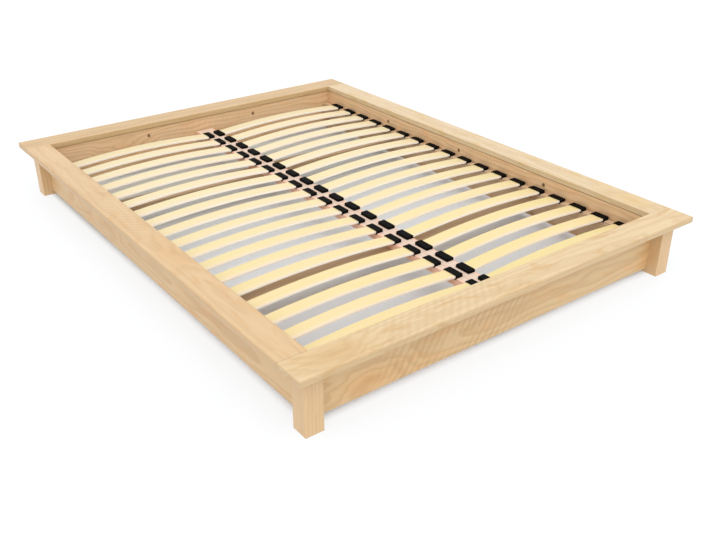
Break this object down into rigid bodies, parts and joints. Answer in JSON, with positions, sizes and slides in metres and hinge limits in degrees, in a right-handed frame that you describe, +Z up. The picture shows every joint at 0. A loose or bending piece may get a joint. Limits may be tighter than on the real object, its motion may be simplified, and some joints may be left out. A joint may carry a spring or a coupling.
{
  "type": "low platform bed frame",
  "caption": "Low wooden platform bed: a wide flat rim on square legs and upright rails, with a lift-out base of bowed slats in plastic end caps that carries a mattress.",
  "frame": {"origin": "on the floor, under the middle of the rim's outline", "axes": "+X across the bed to the right as seen from the foot, +Y along the bed from foot to head, +Z up"},
  "size_m": [1.6, 2.132, 0.218],
  "materials": {
    "rim_wood": "satin lacquered pale pine",
    "frame_wood": "satin lacquered pale pine",
    "base_wood": "plain planed pine",
    "slat_wood": "satin laminated birch",
    "cap_plastic": "matt black",
    "cam_metal": "dull zinc casting",
    "fastener_steel": "zinc plated",
    "dowel_wood": "plain turned beech"
  },
  "bodies": {
    "bed_frame": {"cam_bolts": "fastener_steel", "cam_locks": "cam_metal", "foot_left_leg": "frame_wood", "foot_rail": "frame_wood", "foot_right_leg": "frame_wood", "foot_rim_board": "rim_wood", "head_left_leg": "frame_wood", "head_rail": "frame_wood", "head_right_leg": "frame_wood", "head_rim_board": "rim_wood", "left_cleat": "base_wood", "left_rail": "frame_wood", "left_rim_board": "rim_wood", "right_cleat": "base_wood", "right_rail": "frame_wood", "right_rim_board": "rim_wood", "wood_dowels": "dowel_wood"},
    "slat_base": {"base_screws": "fastener_steel", "centre_base_rail": "base_wood", "foot_cross_rail": "base_wood", "head_cross_rail": "base_wood", "left_base_rail": "base_wood", "left_slat_01": "slat_wood", "left_slat_02": "slat_wood", "left_slat_03": "slat_wood", "left_slat_04": "slat_wood", "left_slat_05": "slat_wood", "left_slat_06": "slat_wood", "left_slat_07": "slat_wood", "left_slat_08": "slat_wood", "left_slat_09": "slat_wood", "left_slat_10": "slat_wood", "left_slat_11": "slat_wood", "left_slat_12": "slat_wood", "left_slat_13": "slat_wood", "left_slat_14": "slat_wood", "left_slat_15": "slat_wood", "left_slat_16": "slat_wood", "left_slat_17": "slat_wood", "left_slat_18": "slat_wood", "right_base_rail": "base_wood", "right_slat_01": "slat_wood", "right_slat_02": "slat_wood", "right_slat_03": "slat_wood", "right_slat_04": "slat_wood", "right_slat_05": "slat_wood", "right_slat_06": "slat_wood", "right_slat_07": "slat_wood", "right_slat_08": "slat_wood", "right_slat_09": "slat_wood", "right_slat_10": "slat_wood", "right_slat_11": "slat_wood", "right_slat_12": "slat_wood", "right_slat_13": "slat_wood", "right_slat_14": "slat_wood", "right_slat_15": "slat_wood", "right_slat_16": "slat_wood", "right_slat_17": "slat_wood", "right_slat_18": "slat_wood", "slat_end_caps": "cap_plastic"}
  },
  "joints": [
    {"name": "slat_base_lift", "type": "slide", "parent": "bed_frame", "child": "slat_base", "axis": [0, 0, 1], "range_m": [0, 0.16]}
  ]
}
